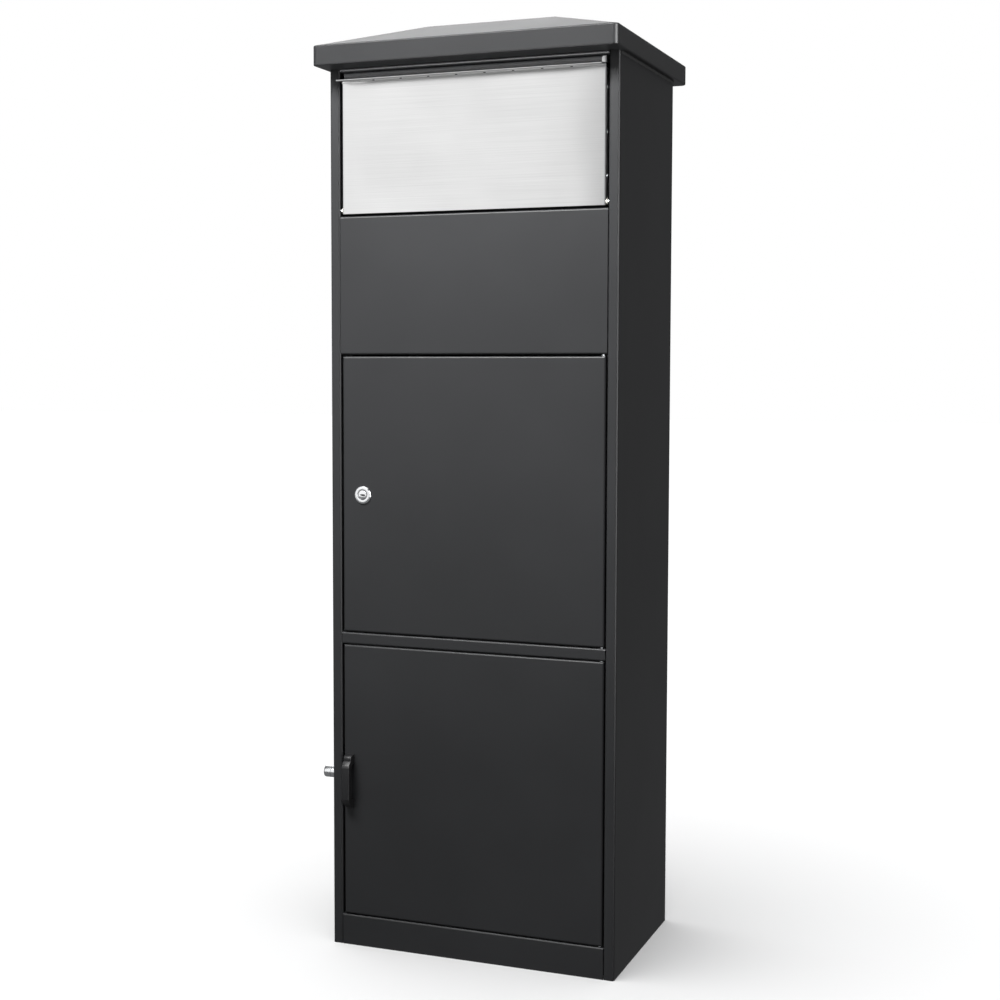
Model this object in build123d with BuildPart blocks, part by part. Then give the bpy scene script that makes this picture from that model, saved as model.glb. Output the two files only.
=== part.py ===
"""A free-standing parcel locker: a sheet-steel cabinet under a hipped rain roof, with a tilting
parcel hopper at the top and two hinged doors below. Millimetres, +Z up, the front faces -Y, and
the origin is the centre of the cabinet's footprint on the floor."""
import os
from math import cos, radians, sin
from build123d import *

# Cabinet
width = 400.0
depth = 262.0
front = -depth / 2
rear = depth / 2
sheet = 1.5
bend = 3.0
front_bend = 2.6
wall_top = 1180.0
soffit = 1184.0

# Front openings between the two stiles
opening = 185.6
stile_return = 16.5
door_lip = 9.9
lip_top = 985.0
rear_flange = 18.0
wall_cut = 2.6
pan_edge = 20.0
plinth_top = 42.0
shelf_top = 432.0
shelf_rail = 16.0
panel_bottom = 807.0
panel_top = 990.2
joint_gap = 0.3

# Roof cap
roof_side = 7.6
roof_front = 38.0
roof_back = 43.5
fascia = 26.0
roof_rise = 36.0
roof_inset_x = 116.7
roof_inset_y = 112.2
roof_corner = 7.0

# Doors
door_left = -182.8
door_right = 183.9
door_depth = 14.0
hinge_x = 179.2
hinge_y = front + 5.0
hinge_pin = 4.0
hinge_bush = 6.0
bush_length = 6.0
pin_seat = 4.0
running_fit = 0.05
middle_door_z = (433.2, 804.6)
bottom_door_z = (43.3, 415.0)

# Hopper
hopper_half = 182.2
cover_sheet = 1.2
hopper_bottom = 993.4
hopper_top = 1178.5
lip_z = 1167.5
lip_fall = 2.0
lip_reach = 20.0
notch_count = 8
notch_pitch = 39.0
pivot_y = front + 5.0
pivot_z = 998.0
pivot_pin = 4.5
pivot_bush = 7.0
cheek_radius = 168.0
floor_angle = radians(-25.0)
open_angle = radians(50.0)
baffle_angle = open_angle + floor_angle

# Cam lock in the middle door
cam_x = -153.5
cam_z = 619.0
cam_face = 24.0
cam_body = 18.0
cam_plug = 13.0
cam_plane = -112.4
cam_thickness = 2.5
cam_reach = 30.0

# Push lock in the left side wall
push_y = front + 35.0
push_z = 229.0
push_face = 23.0
push_body = 20.0
push_barrel = 16.0
push_out = -228.0
push_inner = -194.0
push_end = -176.0
push_bolt = 8.0
bolt_tip = -170.0
keeper_x = -166.0

# Pull handle on the bottom door
handle_x = -173.5
handle_width = 11.0
handle_low = 191.0
handle_high = 265.0
handle_reach = 18.0
handle_grip = 7.0
handle_screw = 4.0

# Anchor holes
floor_anchor = (150.0, 85.0)
floor_anchor_hole = 10.5
wall_anchor_x = 140.0
wall_anchor_z = (500.0, 1130.0)
wall_anchor_hole = 9.0

# Fasteners
rivet_z = [60.0 + 133.0 * step for step in range(9)]
rivet_inset = 9.0
rivet_shank = 4.0
rivet_head = 1.2
bolt_x = 172.0
bolt_y = 104.0
bolt_size = 6.0
hexagon = 5.8

os.makedirs("parts", exist_ok=True)


def write(piece, name):
    """Label a finished piece and write it as a STEP file of the same name."""
    piece.part.label = name
    export_step(piece.part, "parts/" + name + ".step")


def folded(points, side, thickness=sheet, radius=bend):
    """Add the section of a sheet that is folded along the points, in the open sketch."""
    with BuildLine() as outline:
        FilletPolyline(*points, radius=radius)
        offset(amount=thickness, side=side)
    make_face(outline.edges())


def box(x, y, z, mode=Mode.ADD):
    """A box between two corners, given as a pair of limits along each axis."""
    with Locations((sum(x) / 2, sum(y) / 2, sum(z) / 2)):
        Box(x[1] - x[0], y[1] - y[0], z[1] - z[0], mode=mode)


def rod_x(radius, x, y, z, mode=Mode.ADD):
    """A rod or hole along X between two x limits."""
    with Locations(Location(((x[0] + x[1]) / 2, y, z), (0, 90, 0))):
        Cylinder(radius, x[1] - x[0], mode=mode)


def rod_y(radius, x, y, z, mode=Mode.ADD):
    """A rod or hole along Y between two y limits."""
    with Locations(Location((x, (y[0] + y[1]) / 2, z), (90, 0, 0))):
        Cylinder(radius, y[1] - y[0], mode=mode)


def rod_z(radius, x, y, z, mode=Mode.ADD):
    """A rod or hole along Z between two z limits."""
    with Locations((x, y, (z[0] + z[1]) / 2)):
        Cylinder(radius, z[1] - z[0], mode=mode)


def both_sides(x):
    """The same pair of x limits on the left and on the right."""
    return [(-x[1], -x[0]), x]


# Cabinet side panels: each is one sheet folded into a front stile with a door lip and a rear flange
def side_panel(side):
    lip_y = front + stile_return
    lip_end = opening - door_lip
    outline = [
        (side * lip_end, lip_y),
        (side * opening, lip_y),
        (side * opening, front),
        (side * width / 2, front),
        (side * width / 2, rear),
        (side * (width / 2 - rear_flange), rear),
    ]
    with BuildPart() as panel:
        with BuildSketch(Plane.XY):
            folded(outline, Side.LEFT if side > 0 else Side.RIGHT)
        extrude(amount=soffit)
        # The wall stops lower than the stile, to leave room for the roof seal
        wall = sorted((side * (width / 2 - wall_cut), side * (width / 2 + 1)))
        box(wall, (front + bend, rear + 1), (wall_top, soffit + 1), Mode.SUBTRACT)
        flange = sorted((side * (width / 2 - rear_flange - 1), side * width / 2))
        box(flange, (rear - bend, rear + 1), (wall_top, soffit + 1), Mode.SUBTRACT)
        # The door lip is cut away where the hopper swings
        lip = sorted((side * (lip_end - 2), side * (opening + 6)))
        box(lip, (lip_y - 3.2, lip_y + 6), (lip_top, soffit + 1), Mode.SUBTRACT)
        # Holes for the hopper pivot and the back panel's rivets
        pivot = sorted((side * (opening - 1), side * (opening + 4)))
        rod_x(pivot_pin / 2, pivot, pivot_y, pivot_z, Mode.SUBTRACT)
        for z in rivet_z:
            rod_y(rivet_shank / 2, side * (width / 2 - rivet_inset), (rear - 4, rear + 1), z, Mode.SUBTRACT)
        if side < 0:
            rod_x(push_body / 2, (-width / 2 - 1, -width / 2 + 4), push_y, push_z, Mode.SUBTRACT)
    return panel


left_side_panel = side_panel(-1)
write(left_side_panel, "left_side_panel")
right_side_panel = side_panel(1)
write(right_side_panel, "right_side_panel")

inner_x = width / 2 - sheet
back_face = rear - 2 * sheet
lip_clear = opening - door_lip - joint_gap
lip_back = front + stile_return + sheet + joint_gap

# Back panel: a flat sheet behind the rear flanges, with four wall anchor holes
with BuildPart() as back_panel:
    box((3 - inner_x, inner_x - 3), (back_face, back_face + sheet), (0, wall_top))
    for x in (-wall_anchor_x, wall_anchor_x):
        for z in wall_anchor_z:
            rod_y(wall_anchor_hole / 2, x, (back_face - 1, rear), z, Mode.SUBTRACT)
    for x in (rivet_inset - width / 2, width / 2 - rivet_inset):
        for z in rivet_z:
            rod_y(rivet_shank / 2, x, (back_face - 1, rear), z, Mode.SUBTRACT)
write(back_panel, "back_panel")

# Blind rivets that hold the back panel to the side panels' rear flanges
with BuildPart() as back_rivets:
    for x in (rivet_inset - width / 2, width / 2 - rivet_inset):
        for z in rivet_z:
            rod_y(rivet_shank / 2, x, (back_face, rear), z)
            rod_y(4.0, x, (rear, rear + rivet_head), z)
            rod_y(3.0, x, (back_face - 1.6, back_face), z)
    head_y = rear + rivet_head
    head_rims = back_rivets.edges().filter_by_position(Axis.Y, head_y - 0.01, head_y + 0.01)
    fillet(head_rims, 0.7)
write(back_rivets, "back_rivets")

# Base plate: a floor pan with upturned edges and four floor anchor holes
with BuildPart() as base_plate:
    box((-inner_x, inner_x), (lip_back, back_face), (0, sheet))
    box((-lip_clear, lip_clear), (front + sheet, lip_back), (0, sheet))
    for x in both_sides((inner_x - sheet, inner_x)):
        box(x, (lip_back, back_face), (0, pan_edge))
    box((-inner_x, inner_x), (back_face - sheet, back_face), (0, pan_edge))
    for x in (-floor_anchor[0], floor_anchor[0]):
        for y in (-floor_anchor[1], floor_anchor[1]):
            rod_z(floor_anchor_hole / 2, x, y, (-1, sheet + 1), Mode.SUBTRACT)
write(base_plate, "base_plate")

# Front plinth: a folded sill under the bottom door, with the bottom door's lower hinge pin in it
front_half = opening - joint_gap
with BuildPart() as front_plinth:
    with BuildSketch(Plane.YZ):
        folded([(front + 13, plinth_top), (front, plinth_top), (front, 0)],
               Side.LEFT, radius=front_bend)
    extrude(amount=front_half, both=True)
    rod_z(hinge_pin / 2, hinge_x, hinge_y, (plinth_top - 4, plinth_top + 1), Mode.SUBTRACT)
write(front_plinth, "front_plinth")

# Shelf: the deck between the two compartments, whose front edge is folded into a rail
with BuildPart() as shelf:
    with BuildSketch(Plane.YZ):
        folded([(back_face, shelf_top), (front, shelf_top),
                (front, shelf_top - shelf_rail), (front + 12, shelf_top - shelf_rail)],
               Side.LEFT, radius=front_bend)
    extrude(amount=front_half, both=True)
    for x in both_sides((lip_clear, front_half + 1)):
        box(x, (lip_back - 5.5, lip_back), (shelf_top - 5, shelf_top + 1), Mode.SUBTRACT)
    for x in both_sides((front_half - 1, inner_x)):
        box(x, (lip_back, back_face), (shelf_top - sheet, shelf_top))
    for x in both_sides((inner_x - sheet, inner_x)):
        box(x, (lip_back, back_face), (shelf_top - shelf_rail, shelf_top))
    rod_z(hinge_pin / 2, hinge_x, hinge_y, (shelf_top - shelf_rail - 1, shelf_top + 1), Mode.SUBTRACT)
write(shelf, "shelf")

# Upper front panel: fixed between the middle door and the hopper
with BuildPart() as upper_front_panel:
    with BuildSketch(Plane.YZ):
        folded([(front + 12, panel_top), (front, panel_top),
                (front, panel_bottom), (front + 12, panel_bottom)],
               Side.LEFT, radius=front_bend)
    extrude(amount=front_half, both=True)
    rod_z(hinge_pin / 2, hinge_x, hinge_y, (panel_bottom - 1, panel_bottom + 4), Mode.SUBTRACT)
write(upper_front_panel, "upper_front_panel")

# Top plate: closes the cabinet under the roof, with a hemmed front edge above the hopper
hem = 3.7
with BuildPart() as top_plate:
    with BuildSketch(Plane.YZ):
        folded([(back_face, soffit), (front, soffit), (front, soffit - hem), (front + 12, soffit - hem)],
               Side.LEFT, radius=1.8)
    extrude(amount=front_half, both=True)
    for x in both_sides((front_half - 1, inner_x)):
        box(x, (lip_back, back_face), (soffit - sheet, soffit))
    for x in both_sides((inner_x - sheet, inner_x)):
        box(x, (lip_back, back_face), (soffit - pan_edge, soffit))
    for x in (-bolt_x, bolt_x):
        for y in (-bolt_y, bolt_y):
            rod_z(bolt_size / 2, x, y, (soffit - 4, soffit + 1), Mode.SUBTRACT)
write(top_plate, "top_plate")

# Roof cap: a welded hollow hip roof with a fascia all round and an in-turned soffit
roof_x = width / 2 + roof_side
roof_low = front - roof_front
roof_high = rear + roof_back
roof_mid = (roof_low + roof_high) / 2
roof_y = (roof_high - roof_low) / 2
with BuildPart() as roof_cap:
    with BuildSketch(Plane.XY.offset(soffit)):
        with Locations((0, roof_mid)):
            RectangleRounded(2 * roof_x, 2 * roof_y, roof_corner)
    extrude(amount=fascia)
    with BuildSketch(Plane.XY.offset(soffit + fascia)):
        with Locations((0, roof_mid)):
            RectangleRounded(2 * roof_x, 2 * roof_y, roof_corner)
    with BuildSketch(Plane.XY.offset(soffit + fascia + roof_rise)):
        with Locations((0, roof_mid)):
            RectangleRounded(2 * (roof_x - roof_inset_x), 2 * (roof_y - roof_inset_y), 1.5)
    loft()
    fascia_edge = roof_cap.edges().filter_by_position(Axis.Z, soffit + fascia - 0.1, soffit + fascia + 0.1)
    fillet(fascia_edge, 2.0)
    soffit_edge = roof_cap.edges().filter_by_position(Axis.Z, soffit - 0.1, soffit + 0.1)
    fillet(soffit_edge, 2.0)
    # Hollow inside
    with BuildSketch(Plane.XY.offset(soffit + sheet)):
        with Locations((0, roof_mid)):
            RectangleRounded(2 * (roof_x - sheet), 2 * (roof_y - sheet), roof_corner - sheet)
    extrude(amount=fascia - 2.2 * sheet, mode=Mode.SUBTRACT)
    with BuildSketch(Plane.XY.offset(soffit + fascia - 1.2 * sheet)):
        with Locations((0, roof_mid)):
            RectangleRounded(2 * (roof_x - sheet), 2 * (roof_y - sheet), roof_corner - sheet)
    with BuildSketch(Plane.XY.offset(soffit + fascia + roof_rise - sheet)):
        with Locations((0, roof_mid)):
            RectangleRounded(2 * (roof_x - roof_inset_x - sheet), 2 * (roof_y - roof_inset_y - sheet), 1.0)
    loft(mode=Mode.SUBTRACT)
    box((-150, 150), (-80, 80), (soffit - 1, soffit + sheet + 1), Mode.SUBTRACT)
    for x in (-bolt_x, bolt_x):
        for y in (-bolt_y, bolt_y):
            rod_z(bolt_size / 2, x, y, (soffit - 1, soffit + 4), Mode.SUBTRACT)
write(roof_cap, "roof_cap")

# Roof seal: three rubber strips on top of the side and back walls, under the soffit
seal_in = inner_x + 0.1
seal_out = 0.4
with BuildPart() as roof_seal:
    for x in both_sides((seal_in, width / 2 + seal_out)):
        box(x, (front + bend + joint_gap, rear + seal_out), (wall_top, soffit))
    strip_end = seal_in - joint_gap
    box((-strip_end, strip_end), (back_face + 0.1, rear + seal_out), (wall_top, soffit))
write(roof_seal, "roof_seal")

# Roof bolts and their nuts: four M6 through the top plate and the soffit
with BuildPart() as roof_bolts:
    for x in (-bolt_x, bolt_x):
        for y in (-bolt_y, bolt_y):
            rod_z(bolt_size / 2, x, y, (soffit - sheet, soffit + 9))
            with BuildSketch(Plane.XY.offset(soffit - sheet)):
                with Locations((x, y)):
                    RegularPolygon(hexagon, 6)
            extrude(amount=-4)
write(roof_bolts, "roof_bolts")

with BuildPart() as roof_nuts:
    for x in (-bolt_x, bolt_x):
        for y in (-bolt_y, bolt_y):
            with BuildSketch(Plane.XY.offset(soffit + sheet)):
                with Locations((x, y)):
                    RegularPolygon(hexagon, 6)
                    Circle(bolt_size / 2, mode=Mode.SUBTRACT)
            extrude(amount=5)
write(roof_nuts, "roof_nuts")

# Baffle plate: stops a hand reaching past the open hopper, fixed to the back panel
baffle_y = pivot_y + (cheek_radius + 3) * cos(baffle_angle)
baffle_z = pivot_z + (cheek_radius + 3) * sin(baffle_angle)
baffle_half = 187.0
with BuildPart() as baffle_plate:
    with BuildSketch(Plane.YZ):
        folded([(back_face, baffle_z + 62), (back_face, baffle_z + 30), (baffle_y, baffle_z)], Side.RIGHT)
    extrude(amount=baffle_half, both=True)
write(baffle_plate, "baffle_plate")

# Rubber buffers: the closed hopper rests against them, and so do the free edges of the doors
hopper_return = front + cover_sheet + 10.3
with BuildPart() as hopper_buffers:
    for x in both_sides((112, 128)):
        box(x, (hopper_return + joint_gap, hopper_return + 8), (hopper_top - 6, soffit - hem))
write(hopper_buffers, "hopper_buffers")

lip_face = front + stile_return
door_back = front + door_depth
with BuildPart() as door_buffers:
    for low, high in (middle_door_z, bottom_door_z):
        for z in (low + 40, high - 40):
            rod_y(3.0, 6.1 - opening, (door_back + joint_gap, lip_face), z)
write(door_buffers, "door_buffers")


# Doors: welded pans with rounded front edges, each on two upright pins at its right edge
def door_panel(z_limits, hole_radius, hole_x, hole_z):
    """The pan of a door, with its holes for the lock or the handle's screws."""
    low, high = z_limits
    back = front + door_depth
    with BuildPart() as pan:
        box((door_left, door_right), (front, back), z_limits)
        face_edges = pan.faces().sort_by(Axis.Y)[0].edges()
        fillet(face_edges, front_bend)
        inside_x = (door_left + sheet, door_right - sheet)
        box(inside_x, (front + sheet, back + 1), (low + sheet, high - sheet), Mode.SUBTRACT)
        rod_z(hinge_bush / 2, hinge_x, hinge_y, (low - 1, high + 1), Mode.SUBTRACT)
        for z in hole_z:
            rod_y(hole_radius, hole_x, (front - 1, front + 4), z, Mode.SUBTRACT)
    return pan


def door_stiffener(z_limits):
    """A hat channel down the inside of the door."""
    with BuildPart() as channel:
        with BuildSketch(Plane.XY.offset(z_limits[0] + 12)):
            folded([(-48, front + 3), (-30, front + 3), (-30, front + 12),
                    (30, front + 12), (30, front + 3), (48, front + 3)], Side.RIGHT, radius=2.0)
        extrude(amount=z_limits[1] - z_limits[0] - 24)
    return channel


def door_bushes(z_limits):
    """Nylon bushes in the top and bottom edges of the pan."""
    low, high = z_limits
    with BuildPart() as bushes:
        for reach in ((low, low + bush_length), (high - bush_length, high)):
            rod_z(hinge_bush / 2, hinge_x, hinge_y, reach)
            bore = (reach[0] - 1, reach[1] + 1)
            rod_z(hinge_pin / 2 + running_fit, hinge_x, hinge_y, bore, Mode.SUBTRACT)
    return bushes


def hinge_pins(z_limits, lower_seat, upper_seat):
    """Steel pins that stand in the frame above and below a door."""
    low, high = z_limits
    with BuildPart() as pins:
        rod_z(hinge_pin / 2, hinge_x, hinge_y, (lower_seat, low + bush_length))
        rod_z(hinge_pin / 2, hinge_x, hinge_y, (high - bush_length, upper_seat))
    return pins


write(door_panel(middle_door_z, cam_body / 2, cam_x, [cam_z]), "middle_door_panel")
handle_screw_z = (handle_low + 7, handle_high - 7)
write(door_panel(bottom_door_z, handle_screw / 2, handle_x, handle_screw_z), "bottom_door_panel")

write(door_stiffener(middle_door_z), "middle_door_stiffener")
write(door_stiffener(bottom_door_z), "bottom_door_stiffener")
write(door_bushes(middle_door_z), "middle_door_bushes")
write(door_bushes(bottom_door_z), "bottom_door_bushes")
write(hinge_pins(middle_door_z, shelf_top - pin_seat, panel_bottom + pin_seat), "middle_hinge_pins")
rail_bottom = shelf_top - shelf_rail
write(hinge_pins(bottom_door_z, plinth_top - pin_seat, rail_bottom + pin_seat), "bottom_hinge_pins")

# Hopper: a painted front wall between two sector cheeks, with a sloping floor
wall_face = front + cover_sheet
wall_half = hopper_half - cover_sheet - sheet
with BuildPart() as hopper_front:
    with BuildSketch(Plane.YZ):
        folded([(hopper_return, hopper_top), (wall_face, hopper_top), (wall_face, hopper_bottom + 1)],
               Side.LEFT, radius=2.5)
    extrude(amount=wall_half, both=True)
write(hopper_front, "hopper_front")


# Stainless cover over the front wall: its top folds out into a hemmed lip that is the grip
ear_width = 5.6
ear_top = 1178.0
ear_foot = lip_z - 8
cover_flange = 12.0
lip_hem = 7.0
lip_root = lip_z + lip_fall
notch_width = 3.4
with BuildPart() as hopper_cover:
    with BuildSketch(Plane.YZ):
        folded([(front - lip_reach, lip_z), (wall_face, lip_root), (wall_face, hopper_bottom)],
               Side.RIGHT, cover_sheet, 1.6)
        with BuildLine():
            hem_rise = lip_hem * lip_fall / (lip_reach + cover_sheet)
            hem_front = front - lip_reach
            Polyline((hem_front, lip_z - cover_sheet), (hem_front + lip_hem, lip_z - cover_sheet + hem_rise),
                     (hem_front + lip_hem, lip_z - 2 * cover_sheet + hem_rise),
                     (hem_front, lip_z - 2 * cover_sheet), close=True)
        make_face()
    extrude(amount=hopper_half, both=True)
    # Side flanges fold back into the gaps, and the right one ends in a rounded ear above the lip
    for x in both_sides((hopper_half - cover_sheet, hopper_half)):
        box(x, (front, front + cover_flange), (hopper_bottom, lip_z - 1.6))
    with BuildSketch(Plane.XZ.offset(-wall_face)):
        with Locations((hopper_half - ear_width / 2, (ear_foot + ear_top) / 2)):
            Rectangle(ear_width, ear_top - ear_foot)
    extrude(amount=cover_sheet)
    box((hopper_half - cover_sheet, hopper_half), (front, front + 8), (ear_foot, ear_top))
    upright = hopper_cover.edges().filter_by(Axis.Z).filter_by_position(Axis.Y, front - 0.01, front + 0.01)
    corners = [edge for edge in upright if abs(abs(edge.center().X) - hopper_half) < 0.01]
    fillet(corners, 1.1)
    ear_end = hopper_cover.edges().filter_by(Axis.Y).sort_by(Axis.Z)[-2:].sort_by(Axis.X)[0]
    fillet(ear_end, 2.4)
    # Bend-relief slots along the root of the lip
    for step in range(notch_count):
        x = (step - (notch_count - 1) / 2) * notch_pitch
        notch_x = (x - notch_width / 2, x + notch_width / 2)
        box(notch_x, (front - 2.5, wall_face + 1), (lip_root - 3.2, lip_root + 1), Mode.SUBTRACT)
    for side in (-1, 1):
        pin = sorted((side * (hopper_half - 2), side * (hopper_half + 1)))
        rod_x(pivot_bush / 2, pin, pivot_y, pivot_z, Mode.SUBTRACT)
write(hopper_cover, "hopper_cover")


def cheek(side):
    """A quarter-round end plate of the hopper, centred on the pivot."""
    inner = side * wall_half if side > 0 else side * (wall_half + sheet)
    rim = [(pivot_y + cheek_radius * cos(angle), pivot_z + cheek_radius * sin(angle))
           for angle in (radians(90), radians(30), floor_angle)]
    foot = pivot_z - 4.2
    with BuildPart() as plate:
        with BuildSketch(Plane.YZ.offset(inner)):
            with BuildLine():
                Line((wall_face, foot), (wall_face, pivot_z + cheek_radius))
                Line((wall_face, pivot_z + cheek_radius), rim[0])
                ThreePointArc(*rim)
                Line(rim[2], (pivot_y + 1, foot))
                Line((pivot_y + 1, foot), (wall_face, foot))
            make_face()
        extrude(amount=sheet)
        hole = sorted((side * (wall_half - 1), side * (hopper_half + 1)))
        rod_x(pivot_bush / 2, hole, pivot_y, pivot_z, Mode.SUBTRACT)
    return plate


write(cheek(-1), "hopper_left_cheek")
write(cheek(1), "hopper_right_cheek")

# Sloping floor of the hopper, between the cheeks
with BuildPart() as hopper_floor:
    slope = Plane(origin=(0, pivot_y, pivot_z), x_dir=(1, 0, 0),
                  z_dir=(0, -sin(floor_angle), cos(floor_angle)))
    with BuildSketch(slope.offset(-sheet)):
        with Locations((0, (cheek_radius + 6) / 2)):
            Rectangle(2 * wall_half, cheek_radius - 8)
    extrude(amount=sheet)
write(hopper_floor, "hopper_floor")

# Rivets through the cover's flanges and the cheeks
rivet_y = front + cover_flange - 4.5
with BuildPart() as hopper_rivets:
    for side in (-1, 1):
        for z in (1030.0, 1085.0, 1140.0):
            head = sorted((side * hopper_half, side * (hopper_half + 0.8)))
            tail = sorted((side * (wall_half - 1.2), side * wall_half))
            rod_x(3.0, head, rivet_y, z)
            rod_x(2.4, tail, rivet_y, z)
write(hopper_rivets, "hopper_rivets")

with BuildPart() as hopper_bushes:
    for side in (-1, 1):
        reach = sorted((side * wall_half, side * (hopper_half + 1.5)))
        rod_x(pivot_bush / 2, reach, pivot_y, pivot_z)
        bore = sorted((side * (wall_half - 3), side * (hopper_half + 2.5)))
        rod_x(pivot_pin / 2 + running_fit, bore, pivot_y, pivot_z, Mode.SUBTRACT)
write(hopper_bushes, "hopper_bushes")

with BuildPart() as hopper_pivot_pins:
    for side in (-1, 1):
        reach = sorted((side * (wall_half - 3), side * (opening + 5)))
        rod_x(pivot_pin / 2, reach, pivot_y, pivot_z)
write(hopper_pivot_pins, "hopper_pivot_pins")

# Cam lock: housing and nut stay in the middle door, and the plug turns the cam behind the stile
with BuildPart() as cam_lock_housing:
    rod_y(cam_body / 2, cam_x, (front - 2, cam_plane - 1), cam_z)
    rod_y(cam_face / 2, cam_x, (front - 2, front), cam_z)
    rim = cam_lock_housing.faces().sort_by(Axis.Y)[0].edges()
    fillet(rim, 0.8)
    rod_y(cam_plug / 2 + running_fit, cam_x, (front - 3, cam_plane), cam_z, Mode.SUBTRACT)
write(cam_lock_housing, "cam_lock_housing")

with BuildPart() as cam_lock_nut:
    with BuildSketch(Plane.XZ.offset(-(front + sheet))):
        with Locations((cam_x, cam_z)):
            RegularPolygon(13.5, 6)
            Circle(cam_body / 2, mode=Mode.SUBTRACT)
    extrude(amount=-4)
write(cam_lock_nut, "cam_lock_nut")

with BuildPart() as cam_lock_plug:
    rod_y(cam_plug / 2, cam_x, (front - 1.8, cam_plane), cam_z)
    box((cam_x - 3.5, cam_x + 3.5), (cam_plane, cam_plane + cam_thickness), (cam_z - 3.5, cam_z + 3.5))
    box((cam_x - 4.2, cam_x + 4.2), (front - 3, front + 12), (cam_z - 0.9, cam_z + 0.9), Mode.SUBTRACT)
write(cam_lock_plug, "cam_lock_plug")

with BuildPart() as cam_lever:
    with BuildSketch(Plane.XZ.offset(-cam_plane)):
        with Locations((cam_x, cam_z)):
            Circle(8)
        with Locations((cam_x, cam_z - cam_reach / 2)):
            RectangleRounded(13, cam_reach, 3)
        with Locations((cam_x, cam_z)):
            Rectangle(7, 7, mode=Mode.SUBTRACT)
    extrude(amount=-cam_thickness)
write(cam_lever, "cam_lever")

with BuildPart() as cam_screw:
    screw_y = cam_plane + cam_thickness
    rod_y(5.5, cam_x, (screw_y, screw_y + 2.6), cam_z)
    fillet(cam_screw.edges().sort_by(Axis.Y)[-1], 1.2)
write(cam_screw, "cam_screw")

# Push lock: pushing the chromed barrel in sends its bolt through the keeper on the bottom door
with BuildPart() as push_lock_housing:
    rod_x(push_face / 2, (-width / 2 - 2, -width / 2), push_y, push_z)
    rod_x(push_body / 2, (-width / 2, push_end), push_y, push_z)
    rim = push_lock_housing.faces().sort_by(Axis.X)[0].edges()
    fillet(rim, 0.8)
    rod_x(push_barrel / 2 + running_fit, (-width / 2 - 3, push_end - 2), push_y, push_z, Mode.SUBTRACT)
    rod_x(push_bolt / 2 + running_fit, (push_end - 3, push_end + 1), push_y, push_z, Mode.SUBTRACT)
write(push_lock_housing, "push_lock_housing")

with BuildPart() as push_lock_nut:
    with BuildSketch(Plane.YZ.offset(sheet - width / 2)):
        with Locations((push_y, push_z)):
            RegularPolygon(14.0, 6)
            Circle(push_body / 2, mode=Mode.SUBTRACT)
    extrude(amount=4.5)
write(push_lock_nut, "push_lock_nut")

push_plug = 10.0
with BuildPart() as push_lock_barrel:
    rod_x(push_barrel / 2, (push_out, push_inner), push_y, push_z)
    rim = push_lock_barrel.faces().sort_by(Axis.X)[0].edges()
    fillet(rim, 1.2)
    rod_x(push_plug / 2 + running_fit, (push_out - 1, push_out + 14), push_y, push_z, Mode.SUBTRACT)
write(push_lock_barrel, "push_lock_barrel")

with BuildPart() as push_lock_plug:
    rod_x(push_plug / 2, (push_out + 0.3, push_out + 13.7), push_y, push_z)
    slot_y = (push_y - 0.8, push_y + 0.8)
    slot_z = (push_z - 3.4, push_z + 3.4)
    box((push_out - 1, push_out + 9), slot_y, slot_z, Mode.SUBTRACT)
write(push_lock_plug, "push_lock_plug")

with BuildPart() as push_lock_bolt:
    rod_x(push_bolt / 2, (push_inner, bolt_tip), push_y, push_z)
    tip = push_lock_bolt.faces().sort_by(Axis.X)[-1].edges()
    chamfer(tip, 0.8)
write(push_lock_bolt, "push_lock_bolt")

spring_wire = 1.0
spring_mean = 6.0
with BuildPart() as push_lock_spring:
    coil_start = push_inner + spring_wire
    coil_length = push_end - 2 - spring_wire - coil_start
    with BuildLine() as coil:
        Helix(coil_length / 4, coil_length, spring_mean, (coil_start, push_y, push_z), (1, 0, 0))
    with BuildSketch(Plane(origin=coil.line @ 0, z_dir=coil.line % 0)):
        Circle(spring_wire / 2)
    sweep(path=coil.line, is_frenet=True)
write(push_lock_spring, "push_lock_spring")

# Keeper on the bottom door: a bracket whose rectangular hole takes the push lock's bolt
keeper_hole = (9.4, 12.0)
with BuildPart() as latch_keeper:
    with BuildSketch(Plane.XY.offset(push_z - 18)):
        folded([(keeper_x + 24, front + sheet), (keeper_x, front + sheet), (keeper_x, push_y + 11)],
               Side.RIGHT, 2.5, 3.0)
    extrude(amount=36)
    hole_y = (push_y - keeper_hole[0] / 2, push_y + keeper_hole[0] / 2)
    hole_z = (push_z - keeper_hole[1] / 2, push_z + keeper_hole[1] / 2)
    box((keeper_x - 1, keeper_x + 4), hole_y, hole_z, Mode.SUBTRACT)
write(latch_keeper, "latch_keeper")

# Bow pull handle with sloped ends, held by two screws from inside the door
with BuildPart() as pull_handle:
    with BuildSketch(Plane.YZ.offset(handle_x - handle_width / 2)):
        with BuildLine():
            Polyline((front, handle_low), (front - handle_reach, handle_low + 9),
                     (front - handle_reach, handle_high - 9), (front, handle_high),
                     (front, handle_high - 12), (front - handle_reach + handle_grip, handle_high - 17),
                     (front - handle_reach + handle_grip, handle_low + 17), (front, handle_low + 12),
                     (front, handle_low))
        make_face()
    extrude(amount=handle_width)
    grip_edges = pull_handle.edges().filter_by_position(Axis.Y, front - handle_reach - 0.1, front - 0.5)
    fillet(grip_edges, 1.6)
    for z in handle_screw_z:
        rod_y(handle_screw / 2, handle_x, (front - 5, front + 1), z, Mode.SUBTRACT)
write(pull_handle, "pull_handle")

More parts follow.
